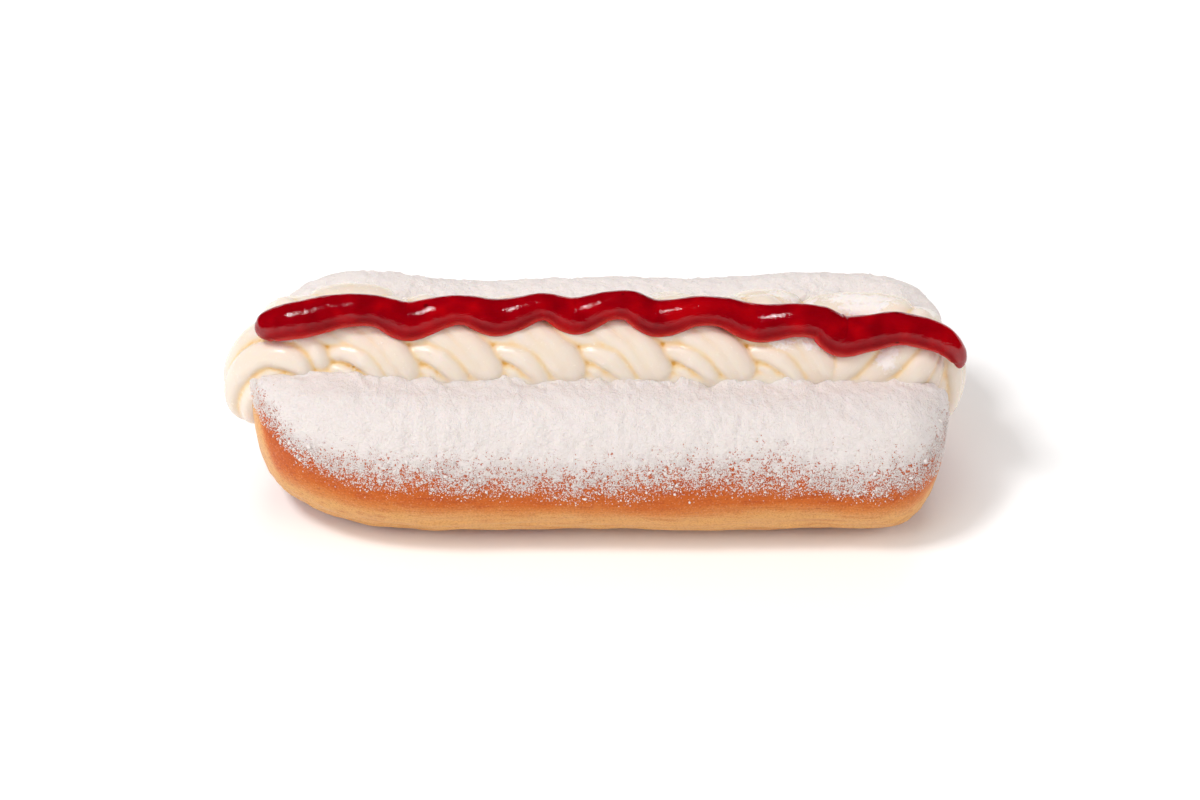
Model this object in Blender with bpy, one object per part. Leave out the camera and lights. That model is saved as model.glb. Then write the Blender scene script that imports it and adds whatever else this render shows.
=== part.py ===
"""Cream finger bun: a soft finger bun slit along its top, a piped rope of cream and a line of jam.

Metres, +Z up, +X along the bun, the flat of the base on z = 0. Each food is one closed solid.
"""

import math

import bmesh
import bpy
import numpy as np
from mathutils import Matrix

# Bun
BUN_LEFT, BUN_RIGHT = -0.0893, 0.0897
HALF_WIDTH = 0.0378
CROWN_HEIGHT = 0.0423
CROWN_OFFSET = 0.0205  # how far each half's highest line lies from the middle
WIDEST_HEIGHT = 0.0200
BASE_HALF_WIDTH = 0.0185
LIP_OFFSET, LIP_HEIGHT = 0.0150, 0.0412
SLIT_BOTTOM = 0.0140
SLIT_BOW = 0.0012
END_ROUND = {"left": (0.051, 2.4), "right": (0.024, 2.7)}  # length in plan, roundness
END_LIFT = {"left": (0.039, 2.3), "right": (0.018, 2.5)}  # the same for the rise of the underside
LIP_DROP = {"left": (0.006, 0.04), "right": (0.014, 0.22)}  # length, share of the height lost
BUN_STATIONS, HALF_RING = 40, 11

# Cream
ROPE_OFFSET, ROPE_HEIGHT = -0.0010, 0.0395
ROPE_RADIUS = 0.0155
STRAND_RADIUS = 0.0106
STRAND_WIDENING = 1.22  # of a loop, along the bun
STRAND_REACH = math.radians(112)
NOZZLE_TEETH = 10
TOOTH_POINTS = 3
TOOTH_DEPTH = 0.13
RIGHT_FULLNESS = 0.12  # each loop is fuller on its right side, where it lies over the next
# Each loop: where it crosses the top, its size, and how far it runs right from the top to the front
LOOPS = (
    (-0.0660, 1.12, 0.008), (-0.0425, 0.99, 0.008), (-0.0215, 0.95, 0.008), (0.0005, 0.98, 0.008),
    (0.0240, 1.04, 0.008), (0.0490, 1.05, 0.008), (0.0705, 0.98, -0.004), (0.0795, 0.74, -0.005),
)
CORE_LEFT, CORE_RIGHT = -0.0885, 0.0890
CORE_RADIUS = 0.0125
FALL_INNER = 0.0070
# Strands over the ends: points along the middle of each, and its radius at each point.
FALLS = {
    "left": (
        ((-0.064, -0.002, 0.044), (-0.076, -0.004, 0.0425), (-0.0862, -0.0045, 0.0380),
         (-0.0890, -0.0045, 0.0290), (-0.0895, -0.0045, 0.0200)),
        (0.0105, 0.0115, 0.0104, 0.0086, 0.0060),
    ),
    "left_back": (
        ((-0.070, 0.004, 0.039), (-0.082, 0.003, 0.0365), (-0.0870, 0.002, 0.030),
         (-0.0875, 0.001, 0.022)),
        (0.0108, 0.0100, 0.0082, 0.0056),
    ),
    "right": (
        ((0.0780, 0.0030, 0.0375), (0.0862, 0.0010, 0.0365), (0.0878, -0.0020, 0.0305),
         (0.0868, -0.0040, 0.0205)),
        (0.0100, 0.0088, 0.0070, 0.0048),
    ),
}

# Jam
JAM_HALF_WIDTH, JAM_HALF_HEIGHT, JAM_SUNK = 0.0042, 0.0048, 0.0008
JAM_SIDES, JAM_STEPS = 12, 60
# Along the line: x, degrees forward of straight up, distance from the rope's middle line
JAM_KNOTS = (
    (-0.0868, 28, 0.0150), (-0.0825, 24, 0.0175), (-0.0761, 25, 0.0190), (-0.0664, 21, 0.0207),
    (-0.0570, 20, 0.0205), (-0.0486, 26, 0.0184), (-0.0364, 17, 0.0195), (-0.0257, 22, 0.0184),
    (-0.0150, 15, 0.0198), (-0.0059, 21, 0.0188), (0.0048, 12, 0.0203), (0.0148, 23, 0.0186),
    (0.0280, 19, 0.0202), (0.0405, 28, 0.0186), (0.0527, 28, 0.0200), (0.0651, 40, 0.0185),
    (0.0763, 33, 0.0195), (0.0858, 40, 0.0175), (0.0895, 47, 0.0155), (0.0912, 61, 0.0125),
)

GAP = 0.0003
TO_MIDDLE = 0.0012  # moves the whole along X, so that its box is centred on the origin

FLOUR_CRUST = (0.58, 0.15, 0.035)
WHIPPED_CREAM = (0.87, 0.74, 0.58)
RASPBERRY = (0.35, 0.003, 0.008)


def clear_scene():
    for obj in list(bpy.data.objects):
        bpy.data.objects.remove(obj)


def material(name, colour, roughness):
    made = bpy.data.materials.new(name)
    made.use_nodes = True
    shader = made.node_tree.nodes["Principled BSDF"]
    shader.inputs["Base Color"].default_value = (*colour, 1)
    shader.inputs["Roughness"].default_value = roughness
    shader.inputs["Metallic"].default_value = 0
    return made


def add_object(name, mesh, collection=None):
    obj = bpy.data.objects.new(name, mesh)
    (collection or bpy.context.scene.collection).objects.link(obj)
    return obj


def tube_mesh(name, rings, capped):
    """Mesh over rings[station, point, xyz], each ring closed, with points that meet merged.

    Every face is a triangle, so that the cuts see the faces that are kept."""
    stations, points = rings.shape[:2]
    index = np.arange(stations * points).reshape(stations, points)
    after = np.roll(index, -1, axis=1)
    quads = np.stack([index[:-1], after[:-1], after[1:], index[1:]], axis=-1).reshape(-1, 4)
    faces = quads.tolist()
    if capped:
        faces += [index[0][::-1].tolist(), index[-1].tolist()]
    mesh = bpy.data.meshes.new(name)
    mesh.from_pydata(rings.reshape(-1, 3).tolist(), [], faces)
    work = bmesh.new()
    work.from_mesh(mesh)
    bmesh.ops.remove_doubles(work, verts=work.verts, dist=1e-6)
    bmesh.ops.triangulate(work, faces=work.faces)
    bmesh.ops.recalc_face_normals(work, faces=work.faces)
    work.to_mesh(mesh)
    work.free()
    return mesh


def evaluated_copy(obj, name):
    graph = bpy.context.evaluated_depsgraph_get()
    mesh = bpy.data.meshes.new_from_object(obj.evaluated_get(graph))
    mesh.name = name
    return mesh


def grown(obj, gap):
    """A copy of obj, larger by gap all round."""
    cutter = add_object(obj.name + "_grown", obj.data.copy())
    swell = cutter.modifiers.new("swell", "DISPLACE")
    swell.strength = gap
    swell.mid_level = 0
    return cutter


def cut_with(obj, cutter):
    """Cuts obj with cutter, applies the cut and removes the cutter."""
    cutter.hide_render = True
    cutter.display_type = "WIRE"
    cut = obj.modifiers.new("cut", "BOOLEAN")
    cut.operation = "DIFFERENCE"
    cut.solver = "EXACT"
    cut.object = cutter
    bpy.context.view_layer.update()
    mesh = evaluated_copy(obj, obj.name)
    obj.modifiers.clear()
    obj.data = mesh
    bpy.data.objects.remove(cutter)


def keep_largest_body(mesh):
    """Drops the loose scraps that a cut leaves."""
    work = bmesh.new()
    work.from_mesh(mesh)
    left = set(work.verts)
    bodies = []
    while left:
        body, front = set(), [next(iter(left))]
        while front:
            vert = front.pop()
            if vert in body:
                continue
            body.add(vert)
            front.extend(edge.other_vert(vert) for edge in vert.link_edges)
        bodies.append(body)
        left -= body
    bodies.sort(key=len)
    for body in bodies[:-1]:
        bmesh.ops.delete(work, geom=list(body), context="VERTS")
    work.to_mesh(mesh)
    work.free()


def smooth_shaded(obj, degrees):
    obj.data.shade_smooth()
    obj.data.set_sharp_from_angle(angle=math.radians(degrees))


# --- bun ---------------------------------------------------------------------------------------


def end_fall(x, length, roundness, end):
    """1 along the bun, falling to 0 at its end along a superellipse of that length."""
    tip = BUN_LEFT if end == "left" else BUN_RIGHT
    away = np.abs(tip - x)
    share = np.clip(1 - away / length, 0, 1)
    return (1 - share**roundness) ** (1 / roundness)


def both_ends(x, left, right):
    return np.minimum(end_fall(x, *left, "left"), end_fall(x, *right, "right"))


def swell_along(x, side):
    """The uneven rise of each half: both are full near the left end, the far one also near the right."""
    if side > 0:
        humps = 0.0039 * bump(x, -0.066, 0.017) - 0.0015 * bump(x, -0.030, 0.016)
        return humps + 0.0006 * bump(x, 0.008, 0.012) + 0.0020 * bump(x, 0.057, 0.020)
    return 0.0019 * bump(x, -0.068, 0.024) + 0.0004 * bump(x, -0.002, 0.020)


def bump(x, centre, width):
    return np.exp(-(((x - centre) / width) ** 2))


def quarter(centre, reach, roundness, angles):
    """A quarter of a superellipse from straight up (angle 0) round to the side (angle pi / 2)."""
    y = centre[0] + reach[0] * np.sin(angles) ** (2 / roundness)
    z = centre[1] + reach[1] * np.cos(angles) ** (2 / roundness)
    return np.stack([y, z], axis=-1)


def crust_outline(count):
    """One half's crust in the (y, z) plane: lip, crown, side, underside, to the middle of the base."""
    over = count // 5
    side = 2 * count // 5
    under = count - over - side - 1
    lip = quarter(
        (CROWN_OFFSET, LIP_HEIGHT),
        (LIP_OFFSET - CROWN_OFFSET, CROWN_HEIGHT - LIP_HEIGHT),
        2.0,
        np.linspace(math.pi / 2, 0, over + 1),
    )
    upper = quarter(
        (CROWN_OFFSET, WIDEST_HEIGHT),
        (HALF_WIDTH - CROWN_OFFSET, CROWN_HEIGHT - WIDEST_HEIGHT),
        2.1,
        np.linspace(0, math.pi / 2, side + 1)[1:],
    )
    lower = quarter(
        (BASE_HALF_WIDTH, WIDEST_HEIGHT),
        (HALF_WIDTH - BASE_HALF_WIDTH, -WIDEST_HEIGHT),
        2.0,
        np.linspace(math.pi / 2, 0, under + 1)[1:],
    )
    return np.concatenate([lip, upper, lower, [(0.0, 0.0)]])


def slit_outline(count):
    """One face of the slit, from the lip down to its bottom, with as many points as the crust."""
    down = np.linspace(0, 1, count + 1) ** 1.3
    y = LIP_OFFSET * (1 - down) + SLIT_BOW * np.sin(math.pi * down)
    z = LIP_HEIGHT + (SLIT_BOTTOM - LIP_HEIGHT) * down
    return np.stack([y, z], axis=-1)


def bun_rings(stations, count):
    """Rings round the section at each station. Towards each end the crust closes onto the slit's own edge."""
    middle, half = (BUN_LEFT + BUN_RIGHT) / 2, (BUN_RIGHT - BUN_LEFT) / 2
    x = middle + half * np.sin(np.linspace(-math.pi / 2, math.pi / 2, stations))
    across = both_ends(x, END_ROUND["left"], END_ROUND["right"])[:, None]
    upright = both_ends(x, END_LIFT["left"], END_LIFT["right"])[:, None]
    drop_left = LIP_DROP["left"][1] * (1 - end_fall(x, LIP_DROP["left"][0], 2.0, "left"))
    drop_right = LIP_DROP["right"][1] * (1 - end_fall(x, LIP_DROP["right"][0], 2.0, "right"))
    height = 1 - (drop_left + drop_right)[:, None]
    crust, slit = crust_outline(count), slit_outline(count)
    sides = {}
    for side in (-1, 1):
        rise = swell_along(x, side)[:, None] * crust[:, 1] / CROWN_HEIGHT
        crust_z = crust[:, 1] + rise
        slit_z = slit[:, 1] + rise[:, :1] * (slit[:, 1] - SLIT_BOTTOM) / (LIP_HEIGHT - SLIT_BOTTOM)
        y = slit[:, 0] + (crust[:, 0] - slit[:, 0]) * across
        z = slit_z + (crust_z - slit_z) * upright
        z = np.where(z > SLIT_BOTTOM, SLIT_BOTTOM + (z - SLIT_BOTTOM) * height, z)
        slit_z = SLIT_BOTTOM + (slit_z - SLIT_BOTTOM) * height
        long = np.broadcast_to(x[:, None], y.shape)
        sides[side] = (
            np.stack([long, side * y, z], axis=-1),
            np.stack([long, side * np.broadcast_to(slit[:, 0], y.shape), slit_z], axis=-1),
        )
    near_crust, near_slit = sides[-1]
    far_crust, far_slit = sides[1]
    return np.concatenate(
        [near_crust, far_crust[:, -2::-1], far_slit[:, 1:], near_slit[:, -2:0:-1]], axis=1
    )


def make_bun():
    bun = add_object("bun", tube_mesh("bun", bun_rings(BUN_STATIONS, HALF_RING), capped=False))
    bun.data.materials.append(material("baked_crust", FLOUR_CRUST, 0.6))
    smooth_shaded(bun, 50)
    return bun


# --- cream -------------------------------------------------------------------------------------


def frames_along(path, outward):
    """Unit tangent, outward and sideways directions at each point of a path."""
    tangent = np.gradient(path, axis=0)
    tangent /= np.linalg.norm(tangent, axis=1, keepdims=True)
    side = np.cross(tangent, outward)
    side /= np.linalg.norm(side, axis=1, keepdims=True)
    return tangent, np.cross(side, tangent), side


def nozzle_strand(path, outward, radius, inner, widening=1.0):
    """Rings of a strand from a star nozzle: rounded teeth with sharp valleys that follow the path.

    It reaches no further than inner to the inside of its bend."""
    _, out, side = frames_along(path, outward)
    around = np.linspace(0, 2 * math.pi, NOZZLE_TEETH * TOOTH_POINTS, endpoint=False)[None, :]
    tooth = np.abs(np.sin(NOZZLE_TEETH / 2 * around)) ** 0.7
    reach = radius[:, None] * (1 - TOOTH_DEPTH * (1 - tooth)) * (1 + RIGHT_FULLNESS * np.sin(around))
    return (
        path[:, None]
        + np.maximum(reach * np.cos(around), -inner)[..., None] * out[:, None]
        + (widening * reach * np.sin(around))[..., None] * side[:, None]
    )


def rounded_ends(count, sharpness):
    """Radius share along a strand with a rounded tip at each end."""
    along = np.linspace(-1, 1, count)
    return np.maximum(1 - np.abs(along) ** sharpness, 0.02) ** 0.5


def round_the_rope(x, angle, reach):
    """Points at those distances from the rope's middle line, at those angles forward of straight up."""
    return np.stack(
        [x, ROPE_OFFSET - reach * np.sin(angle), ROPE_HEIGHT + reach * np.cos(angle)], axis=-1
    )


def loop_rings(centre, size, lean, grow, steps):
    """One loop of the rope: from behind, over the top and down the front, leaning to one side."""
    angle = np.linspace(-STRAND_REACH, STRAND_REACH, steps)
    path_radius = (ROPE_RADIUS - STRAND_RADIUS * 0.9) * size
    path = round_the_rope(centre + lean * np.sin(angle), angle, np.full(steps, path_radius))
    outward = np.stack([np.zeros(steps), -np.sin(angle), np.cos(angle)], axis=-1)
    radius = STRAND_RADIUS * size * rounded_ends(steps, 6) + grow
    return nozzle_strand(path, outward, radius, 0.85 * path_radius, STRAND_WIDENING)


def fall_rings(points, radii, grow, steps):
    """A strand that falls over one end of the bun, along a smooth curve through its points."""
    path = smooth_curve(np.array(points), steps)
    radius = smooth_curve(np.array(radii)[:, None], steps)[:, 0] * rounded_ends(steps, 8) + grow
    outward = path - (0.0, 0.002, SLIT_BOTTOM + 0.012)
    outward[:, 0] *= 0.35
    return nozzle_strand(path, outward, radius, FALL_INNER)


def smooth_curve(points, steps):
    """Catmull-Rom curve through the points, read at even steps."""
    padded = np.vstack([2 * points[0] - points[1], points, 2 * points[-1] - points[-2]])
    at = np.linspace(0, len(points) - 1 - 1e-9, steps)
    k = at.astype(int)
    t = (at - k)[:, None]
    p0, p1, p2, p3 = (padded[k + i] for i in range(4))
    return 0.5 * (
        2 * p1
        + (p2 - p0) * t
        + (2 * p0 - 5 * p1 + 4 * p2 - p3) * t**2
        + (3 * p1 - p0 - 3 * p2 + p3) * t**3
    )


def core_rings(grow, stations, points):
    """The cream that fills the slit: a wedge wider than the slit, cut back later, with a round top."""
    middle, half = (CORE_LEFT + CORE_RIGHT) / 2, (CORE_RIGHT - CORE_LEFT) / 2
    along = np.sin(np.linspace(-math.pi / 2, math.pi / 2, stations))
    x = middle + half * along
    close = np.maximum(1 - np.abs(along) ** 12, 0.02) ** 0.5
    dome = np.radians(np.linspace(-72, 72, points - 3))
    y = np.concatenate([[-LIP_OFFSET - 0.0005], ROPE_OFFSET + (CORE_RADIUS + grow) * np.sin(dome)])
    z = np.concatenate([[LIP_HEIGHT - 0.003], ROPE_HEIGHT + (CORE_RADIUS + grow) * np.cos(dome)])
    y = np.append(y, [LIP_OFFSET + 0.0005, 0.0])
    z = np.append(z, [LIP_HEIGHT - 0.003, SLIT_BOTTOM - 0.001])
    centre = (SLIT_BOTTOM + ROPE_HEIGHT) / 2
    return np.stack(
        [
            np.broadcast_to(x[:, None], (stations, points)),
            close[:, None] * y,
            centre + close[:, None] * (z - centre),
        ],
        axis=-1,
    )


def piped_cream(name, grow):
    """The core, the loops and the falls at both ends, joined in one union. Grow thickens every strand."""
    cream = add_object(name, tube_mesh(name, core_rings(grow, 24, 14), capped=True))
    strands = bpy.data.collections.new("strands")
    bpy.context.scene.collection.children.link(strands)
    rings = {f"loop_{number}": loop_rings(*loop, grow, 12) for number, loop in enumerate(LOOPS)}
    rings.update({side: fall_rings(*fall, grow, 9) for side, fall in FALLS.items()})
    for strand, points in rings.items():
        add_object(strand, tube_mesh(strand, points, capped=True), strands)
    join = cream.modifiers.new("join", "BOOLEAN")
    join.operation = "UNION"
    join.operand_type = "COLLECTION"
    join.solver = "EXACT"
    join.collection = strands
    bpy.context.view_layer.update()
    mesh = evaluated_copy(cream, name)
    cream.modifiers.clear()
    cream.data = mesh
    for strand in list(strands.objects):
        bpy.data.objects.remove(strand)
    bpy.data.collections.remove(strands)
    return cream


def make_cream(bun):
    cream = piped_cream("cream", 0.0)
    cut_with(cream, grown(bun, GAP))
    keep_largest_body(cream.data)
    cream.data.materials.clear()
    cream.data.materials.append(material("whipped_cream", WHIPPED_CREAM, 0.4))
    smooth_shaded(cream, 60)


# --- jam ---------------------------------------------------------------------------------------


def jam_path(steps):
    """The jam's middle line: over each loop's crown, sinking and slipping forward into each crease."""
    x, side, reach = smooth_curve(np.array(JAM_KNOTS), steps).T
    return round_the_rope(x, np.radians(side), reach - JAM_SUNK)


def make_jam():
    path = jam_path(JAM_STEPS)
    outward = np.broadcast_to((0.0, -0.4, 0.9), path.shape)
    share = rounded_ends(JAM_STEPS, 16)[:, None]
    _, out, side = frames_along(path, outward)
    around = np.linspace(0, 2 * math.pi, JAM_SIDES, endpoint=False)[None, :]
    rings = (
        path[:, None]
        + (share * JAM_HALF_HEIGHT * np.cos(around))[..., None] * out[:, None]
        + (share * JAM_HALF_WIDTH * np.sin(around))[..., None] * side[:, None]
    )
    jam = add_object("jam", tube_mesh("jam", rings, capped=True))
    cut_with(jam, piped_cream("cream_grown", GAP))
    keep_largest_body(jam.data)
    jam.data.materials.clear()
    jam.data.materials.append(material("raspberry_jam", RASPBERRY, 0.15))
    smooth_shaded(jam, 60)


def main():
    clear_scene()
    bun = make_bun()
    make_cream(bun)
    make_jam()
    for obj in bpy.data.objects:
        obj.data.transform(Matrix.Translation((TO_MIDDLE, 0, 0)))


main()
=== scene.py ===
# Cream finger bun: baked bun, piped cream, a line of jam and a dusting of icing sugar.
# Lengths are in metres. X runs along the bun, Z is up, the flat of the base is at z = 0.
import math

import bmesh
import bpy
import numpy as np
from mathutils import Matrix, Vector


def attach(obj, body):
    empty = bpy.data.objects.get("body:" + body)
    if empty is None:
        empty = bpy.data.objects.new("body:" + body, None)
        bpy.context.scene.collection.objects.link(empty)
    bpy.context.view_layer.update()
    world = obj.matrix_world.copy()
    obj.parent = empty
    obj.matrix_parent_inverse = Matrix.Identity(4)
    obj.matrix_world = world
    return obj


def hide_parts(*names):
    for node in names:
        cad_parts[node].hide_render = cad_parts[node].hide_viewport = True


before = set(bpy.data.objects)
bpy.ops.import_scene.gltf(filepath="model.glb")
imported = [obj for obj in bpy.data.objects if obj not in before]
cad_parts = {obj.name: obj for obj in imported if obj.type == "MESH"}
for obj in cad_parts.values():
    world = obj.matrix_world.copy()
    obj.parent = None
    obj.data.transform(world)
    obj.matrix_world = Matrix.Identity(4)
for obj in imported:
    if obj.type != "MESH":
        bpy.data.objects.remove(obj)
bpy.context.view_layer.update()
toMiddle = (0.0012, 0, 0)  # every piece is moved by this, so that the box round the whole is centred
mm = 0.001


def linearColour(hexText):
    # sRGB to linear: c / 12.92 below 0.04045, ((c + 0.055) / 1.055) ^ 2.4 above
    parts = [int(hexText[i:i + 2], 16) / 255 for i in (1, 3, 5)]
    return tuple(c / 12.92 if c <= 0.04045 else ((c + 0.055) / 1.055) ** 2.4 for c in parts) + (1,)


def inUse(sockets, key):
    # the socket with this number, or the first in use that has this name; an empty name fits all
    if isinstance(key, int):
        return sockets[key]
    return next(socket for socket in sockets if socket.enabled and key in ("", socket.name))


def fillInputs(node, inputs):
    # an input takes a number or vector, a hex colour, a node (its first output) or (node, output's name)
    for key, value in inputs.items():
        socket = inUse(node.inputs, key)
        if isinstance(value, bpy.types.Node):
            value = (value, "")
        if isinstance(value, tuple) and isinstance(value[0], bpy.types.Node):
            node.id_data.links.new(inUse(value[0].outputs, value[1]), socket)
        else:
            socket.default_value = linearColour(value) if isinstance(value, str) else value


def addNode(tree, kind, inputs=None, stops=(), **settings):
    # adds a node with its settings, its inputs and, for a colour ramp, its (position, colour) stops
    node = tree.nodes.new("ShaderNode" + kind)
    for name, value in settings.items():
        setattr(node, name, value)
    fillInputs(node, inputs or {})
    if stops:
        elements = node.color_ramp.elements
        elements.remove(elements[-1])
    for number, (position, colour) in enumerate(stops):
        element = elements[0] if number == 0 else elements.new(position)
        element.position = position
        element.color = linearColour(colour) if isinstance(colour, str) else (colour, colour, colour, 1)
    return node


def newMaterial(name):
    made = bpy.data.materials.new(name)
    made.use_nodes = True
    tree = made.node_tree
    tree.nodes.clear()
    shader = addNode(tree, "BsdfPrincipled")
    addNode(tree, "OutputMaterial", {"Surface": shader})
    return made, tree, shader


def smoothStep(low, high, value):
    # 0 below low, 1 above high, 3t^2 - 2t^3 between
    t = np.clip((value - low) / (high - low), 0, 1)
    return t * t * (3 - 2 * t)


def bump(x, centre, width):
    # exp(-((x - centre) / width)^2)
    return np.exp(-(((x - centre) / width) ** 2))


def smoothCurve(points, count):
    # Catmull-Rom curve through the points, read at count even steps
    points = np.asarray(points, float)
    padded = np.vstack([2 * points[0] - points[1], points, 2 * points[-1] - points[-2]])
    at = np.linspace(0, len(points) - 1 - 1e-9, count)
    k = at.astype(int)
    t = (at - k)[:, None]
    p0, p1, p2, p3 = (padded[k + i] for i in range(4))
    return 0.5 * (2 * p1 + (p2 - p0) * t + (2 * p0 - 5 * p1 + 4 * p2 - p3) * t**2
                  + (3 * p1 - p0 - 3 * p2 + p3) * t**3)


def latticeValue(point, seed):
    # a fixed pseudo-random number from -1 to 1 for each lattice point, stirred from its whole coordinates
    h = (point @ np.array((374761393, 668265263, 2147483647)) + seed * 974711) & 0xFFFFFFFF
    h = ((h ^ (h >> 13)) * 1274126177) & 0xFFFFFFFF
    return ((h ^ (h >> 16)) & 0xFFFF) / 32767.5 - 1


def softNoise(points, *layers):
    # each layer is (height, cell, seed): lattice values every cell metres, from -1 to 1, blended by
    # 3t^2 - 2t^3 along each axis and times the height; the layers are added up
    total = 0
    for height, cell, seed in layers:
        p = points / cell + 1000.0
        base = np.floor(p).astype(np.int64)
        t = smoothStep(0, 1, p - base)
        blend = 0
        for corner in np.ndindex(2, 2, 2):
            x, y, z = np.moveaxis(np.where(corner, t, 1 - t), -1, 0)
            blend = blend + x * y * z * latticeValue(base + corner, seed)
        total = total + height * blend
    return total


def lengthAlong(line):
    # how far along the line each of its points lies
    return np.concatenate([[0], np.cumsum(np.linalg.norm(np.diff(line, axis=0), axis=1))])


def vectors(*parts):
    # one array whose last axis holds these parts, each stretched to the shape of the largest
    return np.stack(np.broadcast_arrays(*parts), axis=-1)


def readAt(line, marks, at):
    # the line, known at its marks, read at other places by straight steps
    return vectors(*(np.interp(at, marks, column) for column in line.T))


def unit(arrows):
    # each vector divided by its own length
    return arrows / np.maximum(np.linalg.norm(arrows, axis=-1, keepdims=True), 1e-12)


def gridFaces(rows, columns, wrap):
    # quads over a rows x columns grid of points, closed across its columns when wrap is set
    index = np.arange(rows * columns).reshape(rows, columns)
    after = np.roll(index, -1, axis=1) if wrap else index[:, 1:]
    here = index if wrap else index[:, :-1]
    return vectors(here[:-1], after[:-1], after[1:], here[1:]).reshape(-1, 4)


def gridNormals(points):
    # cross product of the steps along the two parameters, made unit length
    return unit(np.cross(np.gradient(points, axis=0), np.gradient(points, axis=1)))


def meshObject(name, points, quads, triangles=None, material=None, layers=None):
    # one smooth mesh from arrays of points, quads and triangles, with float layers given by name
    mesh = bpy.data.meshes.new(name)
    faces = [face for group in (quads, triangles) if group is not None for face in group.tolist()]
    mesh.from_pydata(points.reshape(-1, 3), [], faces)
    for layer, values in (layers or {}).items():
        made = mesh.attributes.new(layer, "FLOAT", "POINT")
        made.data.foreach_set("value", np.ascontiguousarray(values, np.float32))
    mesh.validate()
    mesh.shade_smooth()
    if material:
        mesh.materials.append(material)
    made = bpy.data.objects.new(name, mesh)
    bpy.context.scene.collection.objects.link(made)
    return made


def closeMesh(piece):
    # merges doubled points, turns every face outwards and tells of an open edge
    work = bmesh.new()
    work.from_mesh(piece.data)
    bmesh.ops.remove_doubles(work, verts=work.verts, dist=2e-6)
    bmesh.ops.recalc_face_normals(work, faces=work.faces)
    openEdges = sum(not edge.is_manifold for edge in work.edges)
    work.to_mesh(piece.data)
    work.free()
    if openEdges:
        print(piece.name, "has", openEdges, "edges that aren't closed")


def makePiece(name, nodes, slot, points, *rest):
    # A finished piece of the one body, with the material it is given; the slot is not used. One that stands
    # for CAD nodes is closed first.
    piece = meshObject(name, points + toMiddle, *rest)
    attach(piece, "root")
    if nodes:
        closeMesh(piece)
        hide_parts(*nodes)


cameraView = {
    "elevation": 40.0,     # degrees above the horizon
    "distance": 1.0,
    "target": (0.0015, 0.0, 0.0222),
    "lens": 114.6,
}
lightRig = {
    # each softbox: where it stands, its size, its watts, and whether it shows as a highlight
    "key": ((-0.48, -0.70, 1.00), (0.60, 0.60), 2.2, False),
    "window": ((-0.50, -0.27, 1.08), (0.25, 0.25), 6.5, True),
    "left": ((-1.15, -0.55, 0.70), (0.8, 0.8), 6.2, False),
    "right": ((1.15, -0.55, 0.70), (0.8, 0.8), 6.6, False),
    "behind": ((0.1, 0.9, 0.9), (0.9, 0.5), 5.4, False),
}
lightTarget = (0, 0, 0.03)
skyStrength = 0.30         # an even white light from all round, which doesn't show in the gloss
floorReach = 6.0           # from its middle to each side


def makeCamera():
    up = math.radians(cameraView["elevation"])
    target = Vector(cameraView["target"])
    camera = bpy.data.objects.new("camera", bpy.data.cameras.new("camera"))
    camera.location = target + cameraView["distance"] * Vector((0, -math.cos(up), math.sin(up)))
    camera.rotation_euler = (target - camera.location).to_track_quat("-Z", "Y").to_euler()
    camera.data.lens = cameraView["lens"]
    camera.data.sensor_width = 36
    camera.data.clip_start = 0.01
    bpy.context.scene.collection.objects.link(camera)
    bpy.context.scene.camera = camera


def makeLights():
    for name, (spot, size, watts, shines) in lightRig.items():
        lamp = bpy.data.lights.new(name + "Softbox", "AREA")
        lamp.shape = "RECTANGLE"
        lamp.size, lamp.size_y = size
        lamp.energy = watts
        holder = bpy.data.objects.new(name + "Softbox", lamp)
        holder.location = spot
        holder.visible_glossy = shines
        holder.rotation_euler = (Vector(lightTarget) - holder.location).to_track_quat("-Z", "Y").to_euler()
        bpy.context.scene.collection.objects.link(holder)
    world = bpy.data.worlds.new("studio")
    bpy.context.scene.world = world
    world.use_nodes = True
    fillInputs(world.node_tree.nodes["Background"], {"Color": (1, 1, 1, 1), "Strength": skyStrength})
    world.cycles_visibility.glossy = False
    bpy.context.scene.view_settings.view_transform = "Standard"


def makeFloor():
    corners = np.array([(-1, -1, 0), (1, -1, 0), (1, 1, 0), (-1, 1, 0)]) * floorReach
    made, _, shader = newMaterial("white studio paper")  # matt, lets only a soft shadow show
    fillInputs(shader, {"Base Color": "#ffffff", "Roughness": 0.9})
    floor = meshObject("floor", corners, np.array([[0, 1, 2, 3]]), material=made)


makeCamera()
makeLights()
makeFloor()
print("camera, lights and floor are set")


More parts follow.
